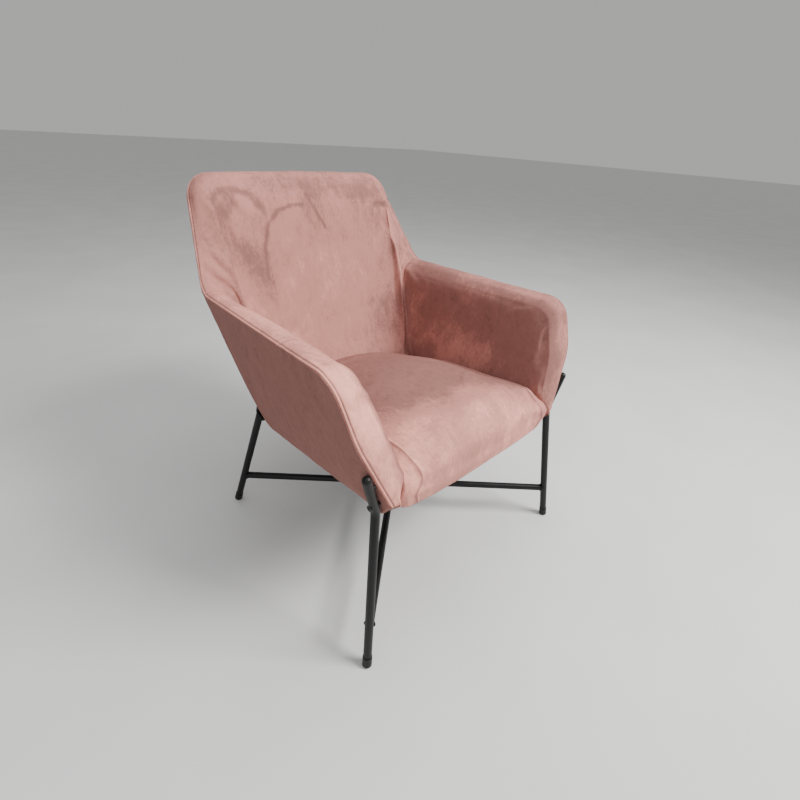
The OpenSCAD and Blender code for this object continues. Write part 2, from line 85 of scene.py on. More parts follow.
# ---- The shell's surface, as the CAD source states it, in metres ----
BACK_HEIGHT, BACK_HALF_W, BACK_DEPTH = 0.756, 0.247, 0.338
NOTCH_HEIGHT, ARM_HEIGHT, ARM_HALF_W, ARM_FRONT = 0.551, 0.560, 0.307, 0.244
FRONT_HALF_W, SHELL_FRONT, REAR_HALF_W = 0.227, 0.311, 0.245
BASE_HEIGHT, BASE_TILT = 0.286, math.radians(3.2)
RIM_BOW, HEM_BOW, BACK_SWELL, ARM_SWELL = 0.012, 0.060, 0.040, 0.008
WALL, EDGE_CROWN, CLOTH, FOAM_IN = 0.056, 0.007, 0.002, 0.015
SEAT_HEIGHT, SEAT_BOARD = 0.414, 0.012
ARC_STEPS = 24
PAD_FOOT = 0.08
SEAM_STATION = 2.0
LAST_STATION = 4.0
ARM_END = 3.9
KNOT_EASE, KNOT_TAPS = 0.12, 9                  # the window that eases the knots, in stations
TURN_FROM, TURN_OVER = 0.5, 1.625               # where the facing turns from the back's to the arm's
SEAM_LEAN, LEAN_POWER = 0.85, 1.4
LEAN_FROM, LEAN_TO, LEAN_OVER = 0.4, 3.6, 1.6   # the stations that the leaning seam bends
END_SQUEEZE = WALL - FOAM_IN - CLOTH - 0.002    # what the padding gives up at an arm's lower front corner
SQUEEZE_FROM, SQUEEZE_OVER = 3.68, 0.22
SWELL_POWER = 0.62                              # below 1 the swell is fullest in the lower half
RIDGE_SHARE, RIDGE_REACH = 0.4, 0.8             # takes back part of the bow in the middle of the back
STATION_STEP = 0.03                             # half the step that finds the rim's direction
SEED = 7


def unit(v):
    return v / np.linalg.norm(v)


def ease(x):
    c = np.clip(x, 0, 1)
    return c * c * (3 - 2 * c)


def underside(y):
    return BASE_HEIGHT - math.tan(BASE_TILT) * y


def corner_arc(a, b, c, r, steps=ARC_STEPS):
    p, q = unit(a - b), unit(c - b)
    half = math.acos(p @ q) / 2
    centre = b + unit(p + q) * r / math.sin(half)
    e0 = (b + p * r / math.tan(half) - centre) / r
    e1 = (b + q * r / math.tan(half) - centre) / r
    w = math.acos(e0 @ e1)
    share = np.linspace(0, 1, steps + 1)[:, None]
    return centre + r * (np.sin((1 - share) * w) * e0 + np.sin(share * w) * e1) / math.sin(w)


def rounded(points, radii):
    p = [np.array(q, float) for q in points]
    rows = [p[:1]]
    for i, r in enumerate(radii, 1):
        rows.append(corner_arc(p[i - 1], p[i], p[i + 1], r))
    rows.append(p[-1:])
    return np.vstack(rows)


def lengths_along(line):
    steps = np.linalg.norm(np.diff(line, axis=0), axis=1)
    return np.concatenate([[0], np.cumsum(steps)])


def running(line):
    total = lengths_along(line)
    return total / total[-1]


def arc_middle(run, i):
    return run[1 + (i - 1) * (ARC_STEPS + 1) + ARC_STEPS // 2]


RIM = rounded([
    (0, BACK_DEPTH - 0.003 + RIM_BOW, BACK_HEIGHT),
    (BACK_HALF_W, BACK_DEPTH - 0.003, BACK_HEIGHT - 0.003),
    (ARM_HALF_W - 0.010, 0.205, NOTCH_HEIGHT),
    (ARM_HALF_W, -ARM_FRONT, ARM_HEIGHT),
    (ARM_HALF_W - 0.015, -ARM_FRONT - 0.042, ARM_HEIGHT - 0.098),
    (FRONT_HALF_W, -SHELL_FRONT, underside(-SHELL_FRONT) + 0.005),
], (0.062, 0.048, 0.050, 0.130))
HEM = rounded([
    (0, 0.124 + HEM_BOW, underside(0.150)),
    (REAR_HALF_W, 0.124, underside(0.124)),
    (REAR_HALF_W - 0.007, -0.160, underside(-0.160)),
    (FRONT_HALF_W + 0.002, 0.013 - SHELL_FRONT, underside(0.013 - SHELL_FRONT)),
], (0.070, 0.070))
RIM_RUN, HEM_RUN = running(RIM), running(HEM)
RIM_KNOTS = [0, arc_middle(RIM_RUN, 1), arc_middle(RIM_RUN, 2), arc_middle(RIM_RUN, 3), 1]
HEM_KNOTS = [0, HEM_RUN[1] * 0.96, HEM_RUN[1 + ARC_STEPS] * 1.02, arc_middle(HEM_RUN, 2), 1]


def along_knots(s, knots):
    """The running share at station s, eased over the knots so that no crease runs up the shell."""
    def plain(q):
        inner = np.interp(np.abs(q), range(5), knots) * np.sign(q)
        beyond = 2 * knots[4] - np.interp(2 * LAST_STATION - q, range(5), knots)
        return np.where(q > LAST_STATION, beyond, inner)
    window = np.linspace(-KNOT_EASE, KNOT_EASE, KNOT_TAPS)
    return sum(plain(s + d) for d in window) / len(window)


def on_line(s, knots, run, line):
    f = along_knots(s, knots)
    return np.stack([np.interp(f, run, line[:, k]) for k in range(3)], -1)


def on_rim(s):
    return on_line(s, RIM_KNOTS, RIM_RUN, RIM)


def facing(s):
    return 0.5 * math.pi * ease((s - TURN_FROM) / TURN_OVER)


def seam_shift(s, v, t):
    """On the inside, the seam between the back and an arm leans into the corner as it goes down."""
    bump = np.where(s < SEAM_STATION, ease((s - LEAN_FROM) / LEAN_OVER), ease((LEAN_TO - s) / LEAN_OVER))
    lean = SEAM_LEAN * (1 - np.clip(v, 0, 1)) ** LEAN_POWER
    return lean * np.maximum(0, (t - FOAM_IN) / (WALL - FOAM_IN)) * bump


def squeezed(s, t):
    """The depth t into the padding, less towards an arm's lower front corner, where the seat fills in."""
    inner = np.clip((t - FOAM_IN) / (WALL - CLOTH - FOAM_IN), 0, 1)
    return t - END_SQUEEZE * ease((s - SQUEEZE_FROM) / SQUEEZE_OVER) * inner


def right_shell(s, v, t, e):
    s = s - seam_shift(s, v, t)
    low, high = on_line(s, HEM_KNOTS, HEM_RUN, HEM), on_rim(s)
    turn = facing(s)
    out = np.stack([np.sin(turn), np.cos(turn), 0 * turn], -1)
    swell = ARM_SWELL + (BACK_SWELL - ARM_SWELL) * np.cos(turn) ** 2
    puff = swell * np.sin(math.pi * np.clip(v, 0, 1) ** SWELL_POWER)
    ridge = (HEM_BOW + (RIM_BOW - HEM_BOW) * v) * RIDGE_SHARE * np.maximum(0, 1 - s / RIDGE_REACH) ** 2
    ahead = on_rim(s + STATION_STEP) - on_rim(s - STATION_STEP)
    ahead /= np.linalg.norm(ahead, axis=-1, keepdims=True)
    rise = high - low
    past = rise - (rise * ahead).sum(-1, keepdims=True) * ahead
    past /= np.linalg.norm(past, axis=-1, keepdims=True)
    rise = rise / np.linalg.norm(rise, axis=-1, keepdims=True)
    way = np.where((v > 0.5)[..., None], past, rise)
    point = low + (high - low) * v[..., None] + out * (puff - squeezed(s, t))[..., None] + way * e[..., None]
    point[..., 1] -= ridge
    return point


def shell(s, v, t=0.0, e=0.0):
    """A point of the shell: v from hem to rim, t into the padding, e past the rim.

    Negative stations are on the -X side."""
    s, v, t, e = np.broadcast_arrays(*(np.asarray(a, float) for a in (s, v, t, e)))
    point = right_shell(np.abs(s), v, t, e)
    point[..., 0] *= np.where(s < 0, -1, 1)
    return point


def crown(t):
    return EDGE_CROWN * np.sin(math.pi * t / WALL)

# ---- The seat cushion's surface ----
SEAT_FRONT, SEAT_REAR = SHELL_FRONT + 0.009, 0.168
SEAT_BASE = SEAT_BOARD + 0.002
SEAT_PANEL = 0.86                               # the seam of an end panel, as a share of the half width
SEAT_HALF_W = 0.19                              # nominal, for measuring across the cushion
SEAT_BLEND = 0.040                              # the front's width eases into the rear's up to this y
FRONT_FLARE, REAR_FLARE = 0.44, 0.2             # half width gained per metre of height
REAR_ROOM, SIDE_ROOM = 0.008, 0.003
NOSE_SHARE = 0.93
NOSE_Y, NOSE_Y_OVER = 0.258, 0.038              # the nose fills the room that the squeezed padding leaves
NOSE_Z, NOSE_Z_OVER = 0.384, 0.048
REAR_CURVE = 0.12
SIDE_FALL, REAR_FALL = 0.31, 0.21               # how far the top comes down at its sides, as a share
FALL_Y, FALL_OVER = 0.270, 0.180
SIDE_SETBACK = 0.007
SETBACK_Y, SETBACK_OVER = 0.200, 0.100
LOW_FRONT, LOW_REAR = 0.032, 0.040              # the underside stops short of the foot line's ends
SEAT_LINE = rounded([
    (0, -SEAT_FRONT + 0.010, underside(-SEAT_FRONT) - 0.004),
    (0, -SEAT_FRONT - 0.002, SEAT_HEIGHT - 0.034),
    (0, -SEAT_FRONT + 0.052, SEAT_HEIGHT + 0.003),
    (0, -0.040, SEAT_HEIGHT + 0.004),
    (0, SEAT_REAR, underside(SEAT_REAR) + 0.068),
], (0.030, 0.060, 0.320))
SEAT_RUN = running(SEAT_LINE)


def seat_half(y, z):
    f = ease((y + SEAT_FRONT) / (SEAT_FRONT + SEAT_BLEND))
    up = z - underside(y)
    front = FRONT_HALF_W - WALL + FRONT_FLARE * up
    rear = REAR_HALF_W - WALL - REAR_ROOM + REAR_FLARE * up
    nose = NOSE_SHARE * END_SQUEEZE * ease((-y - NOSE_Y) / NOSE_Y_OVER) * ease((NOSE_Z - z) / NOSE_Z_OVER)
    return front * (1 - f) + rear * f - SIDE_ROOM + nose


def seat_y(y, f):
    return -SEAT_FRONT + (y + SEAT_FRONT) * (1 - REAR_CURVE * f ** 2)


def seat_top(f, g):
    """The cushion's top at the side fraction f and the share g of the way from its front foot to its rear."""
    y0, z0 = np.interp(g, SEAT_RUN, SEAT_LINE[:, 1]), np.interp(g, SEAT_RUN, SEAT_LINE[:, 2])
    side = np.abs(f) ** 3
    fall = SIDE_FALL + REAR_FALL * ease((y0 + FALL_Y) / FALL_OVER)
    z = z0 - (z0 - underside(y0) - SEAT_BASE) * fall * side
    y = seat_y(y0, f) + SIDE_SETBACK * side * ease((-y0 - SETBACK_Y) / SETBACK_OVER)
    return np.stack([f * seat_half(y0, z), y, z], -1)


def seat_low(f, g):
    """The cushion's underside at the side fraction f and the share g of the way to its rear."""
    y = seat_y(-SEAT_FRONT + LOW_FRONT + (SEAT_REAR - LOW_REAR + SEAT_FRONT - LOW_FRONT) * g, f)
    z = underside(y) + SEAT_BASE
    return np.stack([f * seat_half(y, z), y, z], -1)


# ---- Meshes from grids of points ----
def make_object(name, points, faces):
    mesh = bpy.data.meshes.new(name)
    mesh.from_pydata([tuple(p) for p in points], [], faces)
    mesh.update()
    obj = bpy.data.objects.new(name, mesh)
    bpy.context.scene.collection.objects.link(obj)
    return obj


def grid_faces(rows, columns):
    """Quads over a grid of rows by columns, with each row a closed ring."""
    faces = []
    for i in range(rows - 1):
        for j in range(columns):
            a, b = i * columns + j, i * columns + (j + 1) % columns
            faces.append((a, b, b + columns, a + columns))
    return faces


def capped(rows, columns):
    """The faces of a closed form: the grid's quads and one polygon over each end."""
    last = (rows - 1) * columns
    return grid_faces(rows, columns) + [tuple(range(columns))[::-1], tuple(range(last, last + columns))]


def spaced(start, end, step, tight=(), fine=0.001, reach=0.012):
    """Values from start to end, step apart, and closer around each value in tight."""
    values = [start]
    while values[-1] < end - 1e-9:
        gap = min([abs(values[-1] - t) for t in tight] + [1e9])
        size = fine + (step - fine) * min(1.0, gap / reach)
        ahead = [t for t in tight if values[-1] + 1e-9 < t < values[-1] + size]
        values.append(min([values[-1] + size, end] + ahead))
    return np.array(values)


def normals_of(grid):
    """Outward normals of a grid of points whose rows are closed rings."""
    along = np.gradient(grid, axis=0)
    across = (np.roll(grid, -1, axis=1) - np.roll(grid, 1, axis=1)) / 2
    n = np.cross(across, along)
    return n / np.maximum(np.linalg.norm(n, axis=-1, keepdims=True), 1e-12)


WAVE_COUNT, PITCH_SPREAD = 24, (0.7, 1.5)
random = np.random.default_rng(SEED)
WAVES = [(unit(random.normal(size=3)), random.uniform(0, 2 * math.pi), random.uniform(*PITCH_SPREAD))
         for _ in range(WAVE_COUNT)]


def drift(points, size):
    """A smooth seeded wander between about -1 and 1, with bumps of about that size."""
    total = 0
    for way, phase, pitch in WAVES:
        total = total + np.sin(points @ way * (math.pi / size) * pitch + phase)
    return total / math.sqrt(len(WAVES) * 2)


# ---- Cloth: each pad is puffed up by pressure between its sewn edges ----
PRESSURE, CLOTH_FRAMES, CLOTH_QUALITY = 4.0, 20, 5
SHELL_CAP, SEAT_CAP = 0.005, 0.006              # the furthest that the pressure may move a point


def puffed(points, faces, held, cap):
    """How far each point of a pad moves when pressure fills it.

    held is 1 where the cover is sewn or glued down."""
    obj = make_object("pressing", points, faces)
    group = obj.vertex_groups.new(name="held")
    for i, h in enumerate(held):
        if h > 0:
            group.add([i], float(h), "REPLACE")
    cloth = obj.modifiers.new("cloth", "CLOTH")
    cloth.settings.vertex_group_mass = "held"
    cloth.settings.use_pressure = True
    cloth.settings.uniform_pressure_force = PRESSURE
    cloth.settings.effector_weights.gravity = 0
    cloth.settings.quality = CLOTH_QUALITY
    cloth.point_cache.frame_start, cloth.point_cache.frame_end = 1, CLOTH_FRAMES
    scene = bpy.context.scene
    for step in range(cloth.point_cache.frame_start, cloth.point_cache.frame_end + 1):
        scene.frame_set(step)
    shown = obj.evaluated_get(bpy.context.evaluated_depsgraph_get())
    moved = np.array([v.co for v in shown.data.vertices]) - points
    bpy.data.objects.remove(obj)
    scene.frame_set(1)
    size = np.linalg.norm(moved, axis=1, keepdims=True)
    return moved * np.where(size > 0, cap * np.tanh(size / cap) / np.maximum(size, 1e-9), 1)


def spread(values, rows_from, columns_from, rows_to, columns_to):
    """Carries a grid of vectors to a finer grid, by smooth interpolation along both ways."""
    def finer(a, x, y):
        slopes = np.gradient(a, x, axis=0)
        i = np.clip(np.searchsorted(x, y) - 1, 0, len(x) - 2)
        h = (x[i + 1] - x[i])[:, None, None]
        u = ((y - x[i]) / (x[i + 1] - x[i]))[:, None, None]
        return ((2 * u ** 3 - 3 * u ** 2 + 1) * a[i] + (u ** 3 - 2 * u ** 2 + u) * h * slopes[i]
                + (3 * u ** 2 - 2 * u ** 3) * a[i + 1] + (u ** 3 - u ** 2) * h * slopes[i + 1])
    half = finer(values, rows_from, rows_to)
    return finer(half.swapaxes(0, 1), columns_from, columns_to).swapaxes(0, 1)

# ---- The padded shell: a back and two arms, each one closed form ----
PANEL = 0.35          # nominal height of a panel, for measuring along the section
BACK_ROUNDING, ARM_ROUNDING = 0.042, 0.019   # softness of the padded edge's inner corner
ROUNDING_FROM, ROUNDING_OVER = 2.00, 0.60
SHARP = 0.0012        # softness of every other corner
ARM_BELLY = 0.008     # how far the padding of an arm's front edge swells inwards
BELLY_FROM, BELLY_OVER = 3.05, 0.62
FLANGE = 0.012
SECTION_U = np.cumsum([0, WALL, PANEL * (1 - PAD_FOOT), WALL - FOAM_IN, PANEL * PAD_FOOT, FLANGE,
                       CLOTH, FLANGE + FOAM_IN, CLOTH, PANEL])
SECTION_V = [1, 1, PAD_FOOT, PAD_FOOT, 0, 0, 0, 0, 0, 1]
SECTION_T = [0, WALL, WALL, FOAM_IN, FOAM_IN, FOAM_IN + FLANGE, FOAM_IN + FLANGE, 0, 0, 0]
SECTION_E = [0, 0, 0, 0, 0, 0, -CLOTH, -CLOTH, 0, 0]
ROUND = SECTION_U[-1]
INNER_EDGE = WALL
STITCH_IN = 0.0055    # from the outer seam to its row of stitches
COARSE_S, COARSE_U, COARSE_UNSEEN = 0.036, 0.009, 0.02   # steps of the grid that the cloth simulation moves
FINE_S, FINE_U = 0.0125, 0.0034                          # steps of the grid that is shown
STATION_LENGTH = 0.24                                    # metres of shell per station, about
PANEL_HEIGHT = 0.42                                      # metres from hem to rim, about
PUCKER_HEIGHT, PUCKER_PITCH, PUCKER_WANDER = 0.00045, 0.0095, 1.7
DART_ARM = 2.69       # the station of the cross seam in the left arm's edge
DART_ENDS = {DART_ARM: (0.0, 0.034)}
BACK_DART = ((1.28, 1.00), (1.04, 0.893), (0.86, 0.868))   # from the edge inwards, as (station, height share)


def dip(distance, width):
    """1 at no distance, falling smoothly to 0 over about the width."""
    return np.exp(-(distance / width) ** 2)


def on_section(s, u):
    """A point of a shell pad, u metres along its closed section from the outer seam over the padded edge."""
    u = u % ROUND
    t = np.interp(u, SECTION_U, SECTION_T)
    e = np.interp(u, SECTION_U, SECTION_E) + np.where(u < WALL, crown(t), 0)
    belly = ARM_BELLY * np.sin(math.pi * np.clip((np.abs(s) - BELLY_FROM) / BELLY_OVER, 0, 1))
    t = t + belly * np.clip((t - FOAM_IN) / (WALL - FOAM_IN), 0, 1) * (u < SECTION_U[3])
    return shell(s, np.interp(u, SECTION_U, SECTION_V), t, e)


def smooth_section(s, u):
    """The section with its corners rounded, most of all the inner edge of the padding."""
    soft = BACK_ROUNDING + (ARM_ROUNDING - BACK_ROUNDING) * ease((np.abs(s) - ROUNDING_FROM) / ROUNDING_OVER)
    reach = SHARP + soft * dip(u - INNER_EDGE, 0.011 + 0.75 * soft) * ease((u - 0.004) / 0.030)
    taps = np.linspace(-1, 1, 13)
    return sum(on_section(s, u + reach * k) for k in taps) / len(taps)


def along_speed(s):
    """Metres of rim per station, near s."""
    return np.linalg.norm(shell(s + 0.01, 1.0) - shell(s - 0.01, 1.0), axis=-1) / 0.02


def shell_held(s, u, ends):
    """Where a shell pad's cover is sewn or glued down: at its seams, its ends and below the seat."""
    inside = (u > 0) & (u < SECTION_U[2])
    from_seam = np.minimum(np.minimum(u, ROUND - u), np.abs(u - SECTION_U[2]))
    from_end = np.min([np.abs(s - end) * STATION_LENGTH for end in ends], axis=0)
    glued = np.where(inside, 0.0, 1.0)
    return np.maximum(glued, dip(np.minimum(from_seam, from_end), 0.007))


def shell_pad(name, start, end, darts, cap):
    ends = (start, end)
    coarse_s = np.linspace(start, end, max(2, round((end - start) / COARSE_S)))
    seen_u, unseen_u = np.arange(0, SECTION_U[2], COARSE_U), np.arange(SECTION_U[2], ROUND, COARSE_UNSEEN)
    coarse_u = np.sort(np.concatenate([seen_u, unseen_u]))
    s, u = np.meshgrid(coarse_s, coarse_u, indexing="ij")
    rest = smooth_section(s, u)
    held = shell_held(s, u, ends)
    moved = puffed(rest.reshape(-1, 3), capped(len(coarse_s), len(coarse_u)), held.ravel(), cap)
    moved = moved.reshape(rest.shape)
    fine_s = spaced(start, end, FINE_S, sorted(darts + list(ends)), fine=0.004, reach=0.06)
    fine_u = spaced(0, ROUND, FINE_U, [0, STITCH_IN, ROUND], fine=0.0008, reach=0.012)[:-1]
    wrap_u = np.concatenate([coarse_u, [ROUND]])
    moved = spread(np.concatenate([moved, moved[:, :1]], 1), coarse_s, wrap_u, fine_s, fine_u)
    s, u = np.meshgrid(fine_s, fine_u, indexing="ij")
    grid = smooth_section(s, u) + moved
    normal = normals_of(grid)
    run = lengths_along(shell(fine_s, 1.0))[:, None]
    seam = np.minimum(u, ROUND - u)
    lift = -0.0022 * dip(seam, 0.0016) + 0.0007 * dip(seam - 0.003, 0.0016)
    lift = lift - 0.0014 * dip(u - STITCH_IN, 0.0012)
    shown = (u < SECTION_U[2]) | (u > SECTION_U[8])
    pucker = 0.5 + 0.5 * drift(grid, 0.03)
    ripple = np.sin(run * 2 * math.pi / PUCKER_PITCH + PUCKER_WANDER * drift(grid, 0.02))
    lift += PUCKER_HEIGHT * pucker * ripple * dip(np.abs(u - STITCH_IN - 0.004), 0.007)
    for dart in darts:
        across = np.abs(s - dart) * along_speed(np.array([dart]))[0]
        first, last = DART_ENDS[abs(dart)]
        on = ease((last - u) / 0.006) * ease((u - first) / 0.004 + 1)
        lift += on * (0.0011 * dip(across - 0.006, 0.004) - 0.0034 * dip(across, 0.0020))
    for seam_end in ends:
        across = np.abs(s - seam_end) * along_speed(np.array([seam_end]))[0]
        lift += 0.0005 * dip(across - 0.008, 0.004) - 0.0022 * dip(across, 0.0036)
    lift -= 0.0032 * stroke(s, np.interp(u, SECTION_U, SECTION_V), BACK_DART, 0.0036) * (u < SECTION_U[2])
    lift += 0.0005 * drift(grid, 0.045) + 0.0002 * drift(grid, 0.014)
    grid = grid + normal * (lift * shown)[..., None]
    pad = make_object(name, grid.reshape(-1, 3), capped(len(fine_s), len(fine_u)))
    return pad, (s, u, grid)


# ---- The seat cushion: one closed form with a seam inside each end ----
def seat_point(f, u):
    """u runs from 0 at the front foot over the top to 1 at the rear, and to 2 back along the bottom."""
    top, low = seat_top(f, np.clip(u, 0, 1)), seat_low(f, np.clip(2 - u, 0, 1))
    return np.where((u <= 1)[..., None], top, low)


def smooth_seat(f, u):
    reach = 0.012 + 0.010 * np.exp(-((u - 1) / 0.08) ** 2)
    taps = np.linspace(-1, 1, 7)
    point = sum(seat_point(f, (u + reach * k) % 2) for k in taps) / len(taps)
    drop = ease((np.abs(f) - 0.93) / 0.07) ** 2 * ease(np.minimum(u, 1 - u) / 0.1 + 0.4) * (u <= 1)
    point[..., 2] -= 0.010 * drop * ease((u - 0.16) / 0.2)
    point[..., 1] += 0.008 * drop * (1 - ease((u - 0.10) / 0.2))
    return point


def crease(points, start, end, width, bend=0.0):
    """1 on a soft line from start to end, seen from above, and 0 away from it."""
    a, b = np.array(start), np.array(end)
    way = b - a
    share = np.clip((points[..., :2] - a) @ way / (way @ way), 0, 1)
    side = np.array([-way[1], way[0]]) / np.linalg.norm(way)
    middle = a + share[..., None] * way + (bend * np.sin(math.pi * share))[..., None] * side
    gap = np.linalg.norm(points[..., :2] - middle, axis=-1)
    return dip(gap, width) * np.sin(math.pi * np.clip(share * 0.9 + 0.05, 0, 1)) ** 0.7


FOLDS = 6             # soft folds on the front of the cushion
SEAT_COARSE = (45, 58, 20)   # points across, along the top and along the bottom, for the cloth simulation
SEAT_FINE = (0.020, 150, 30)   # step across, points along the top and along the bottom, as shown


def over_and_back(top, bottom):
    return np.concatenate([np.linspace(0, 1, top)[:-1], np.linspace(1, 2, bottom)[:-1]])


def seat_pad(name, cap):
    coarse_f = np.linspace(-1, 1, SEAT_COARSE[0])
    coarse_u = over_and_back(*SEAT_COARSE[1:])
    f, u = np.meshgrid(coarse_f, coarse_u, indexing="ij")
    rest = smooth_seat(f, u)
    under = (u > 1).astype(float)
    sewn = np.maximum(0.6 * dip(np.abs(f) - SEAT_PANEL, 0.02), dip(1 - np.abs(f), 0.03))
    held = np.maximum.reduce([under, sewn, dip(u, 0.05), ease((u - 0.86) / 0.1)])
    moved = puffed(rest.reshape(-1, 3), capped(len(coarse_f), len(coarse_u)), held.ravel(), cap)
    moved = moved.reshape(rest.shape)
    fine_f = spaced(-1, 1, SEAT_FINE[0], [-SEAT_PANEL, SEAT_PANEL], fine=0.004, reach=0.06)
    fine_u = over_and_back(*SEAT_FINE[1:])
    wrap_u = np.append(coarse_u, 2.0)
    moved = spread(np.concatenate([moved, moved[:, :1]], 1), coarse_f, wrap_u, fine_f, fine_u)
    f, u = np.meshgrid(fine_f, fine_u, indexing="ij")
    grid = smooth_seat(f, u) + moved
    normal = normals_of(grid)
    across = (np.abs(f) - SEAT_PANEL) * SEAT_HALF_W
    lift = 0.0004 * dip(np.abs(across) - 0.005, 0.003) - 0.0015 * dip(across, 0.0018)
    lift += 0.0011 * drift(grid, 0.075) + 0.0004 * drift(grid, 0.025)
    front = dip(u - 0.27, 0.13)
    for k in range(FOLDS):
        fold = f - (0.38 + 0.075 * k) - 0.05 * np.sin(3.2 * (u - 0.2) + 0.9 * k) - 0.012 * drift(grid, 0.05)
        strength = (0.5 + 0.5 * math.sin(1.9 * k + 0.6)) * 0.0024 + 0.0018
        lift += strength * front * (dip(fold - 0.026, 0.018) - dip(fold, 0.013))
    half, deep = SEAT_FRONT * 0.5, SEAT_FRONT
    lift -= 0.0018 * crease(grid, (0.35 * half, -0.62 * deep), (0.95 * half, -0.45 * deep), 0.005, 0.012)
    lift -= 0.0014 * crease(grid, (-0.55 * half, -0.60 * deep), (0.30 * half, -0.63 * deep), 0.007, -0.006)
    shown = ease(u / 0.02) * (u < 1)
    grid = grid + normal * (lift * shown)[..., None]
    pad = make_object(name, grid.reshape(-1, 3), capped(len(fine_f), len(fine_u)))
    return pad, (f, u, grid)


# ---- Threads: rows of small stitches laid on a padded piece ----
STITCH_SIDES = 6
# Each ring of a stitch: share of its length, share of its radius, and height over the cloth in radii
STITCH_RINGS = ((-0.5, 0.35, -0.6), (-0.32, 1.0, 0.25), (0.0, 1.0, 0.7), (0.32, 1.0, 0.25), (0.5, 0.35, -0.6))


def stitches(name, line, normal, pitch=0.0042, length=0.0030, radius=0.00032):
    """Short rounded threads along a line of points, each one lying on the cloth."""
    run = lengths_along(line)
    count = int(run[-1] / pitch)
    points, faces = [], []
    sides, rings = STITCH_SIDES, STITCH_RINGS
    for i in range(count):
        at = (i + 0.5) * pitch
        p = np.array([np.interp(at, run, line[:, k]) for k in range(3)])
        q = np.array([np.interp(at + pitch * 0.3, run, line[:, k]) for k in range(3)])
        n = np.array([np.interp(at, run, normal[:, k]) for k in range(3)])
        way = unit(q - p)
        n = unit(n - (n @ way) * way)
        side = np.cross(way, n)
        first = len(points)
        for share, wide, high in rings:
            middle = p + way * share * length + n * high * radius
            for k in range(sides):
                turn = 2 * math.pi * k / sides
                points.append(middle + radius * wide * (math.cos(turn) * n + math.sin(turn) * side))
        for r in range(len(rings) - 1):
            for k in range(sides):
                a, b = first + r * sides + k, first + r * sides + (k + 1) % sides
                faces.append((a, a + sides, b + sides, b))
        faces.append(tuple(first + k for k in range(sides)))
        faces.append(tuple(first + (len(rings) - 1) * sides + k for k in range(sides))[::-1])
    return make_object(name, points, faces)


def grid_line(data, u_value):
    """The line of a pad's grid at one value of u, with its normals."""
    _, u, grid = data
    j = np.abs(u[0] - u_value).argmin()
    return grid[:, j], normals_of(grid)[:, j]


# ---- Nap and painted shading: how the velvet's pile was last brushed, together with painted light and shade, as a value on each vertex ----
def paint(obj, values):
    attribute = obj.data.attributes.new("nap_and_shading", "FLOAT", "POINT")
    attribute.data.foreach_set("value", np.clip(values, -1, 1).astype(np.float32).ravel())


def stroke(s, v, path, width):
    """1 on a soft brushed line through points of (station, height share), 0 away from it."""
    scale = np.array([STATION_LENGTH, PANEL_HEIGHT])
    spot = np.stack([s, v], -1) * scale
    best = np.full(s.shape, 1e9)
    for a, b in zip(path[:-1], path[1:]):
        a, b = np.array(a) * scale, np.array(b) * scale
        share = np.clip((spot - a) @ (b - a) / ((b - a) @ (b - a)), 0, 1)
        best = np.minimum(best, np.linalg.norm(spot - (a + share[..., None] * (b - a)), axis=-1))
    return dip(best, width)


# Brushed marks on the inside of the back and arms, and the painted shade in the back's dart: (path, width in
# metres, darkening, or brightening below 0)
BACK_STROKES = (
    (((-0.66, 0.58), (-0.60, 0.70), (-0.50, 0.80), (-0.36, 0.86), (-0.20, 0.88), (-0.08, 0.88)),
     0.0034, 0.50),
    (((-0.02, 0.93), (0.06, 0.84), (0.14, 0.77)), 0.0036, 0.42),
    (((-1.05, 0.96), (-0.80, 0.97), (-0.60, 0.94), (-0.52, 0.88)), 0.011, 0.34),
    (((-1.12, 0.90), (-0.95, 0.89), (-0.82, 0.91)), 0.015, 0.30),
    (((-1.20, 0.84), (-0.90, 0.70), (-0.66, 0.56)), 0.026, 0.22),
    (((-1.45, 0.80), (-1.60, 0.60), (-1.72, 0.44)), 0.020, 0.30),
    (((-0.50, 0.97), (0.20, 0.97), (0.90, 0.95)), 0.022, 0.16),
    (((0.70, 0.90), (1.10, 0.80), (1.30, 0.66)), 0.045, 0.14),
    # Painted shade in the groove of the back's dart
    (BACK_DART, 0.0032, 0.80),
    (((1.30, 0.96), (1.55, 0.86), (1.85, 0.72)), 0.035, -0.30),
    (((1.75, 0.80), (1.62, 0.48)), 0.006, 0.30),
    (((1.80, 0.98), (1.88, 0.86)), 0.010, 0.25),
    (((-1.35, 0.56), (-1.00, 0.34), (-0.50, 0.22)), 0.060, -0.34),
    (((-0.20, 0.62), (0.30, 0.40)), 0.090, -0.16),
)
ARM_STROKES = (
    (((2.28, 0.95), (2.34, 0.84), (2.44, 0.74)), 0.006, 0.34),
    (((2.36, 0.95), (2.52, 0.80)), 0.007, 0.28),
    (((2.10, 0.90), (2.22, 0.97), (2.40, 0.95)), 0.014, 0.26),
    (((2.84, 0.84), (2.92, 0.70)), 0.008, 0.24),
    (((2.96, 0.98), (3.06, 0.92), (3.16, 0.90), (3.12, 0.84)), 0.009, 0.36),
    (((2.80, 0.92), (3.00, 0.96), (3.14, 0.99)), 0.016, 0.26),
    (((3.14, 0.62), (3.22, 0.70), (3.34, 0.74), (3.46, 0.72)), 0.007, 0.34),
    (((3.16, 0.50), (3.26, 0.58), (3.40, 0.60)), 0.008, 0.30),
    (((2.60, 0.80), (3.10, 0.62), (3.30, 0.44)), 0.050, 0.14),
)
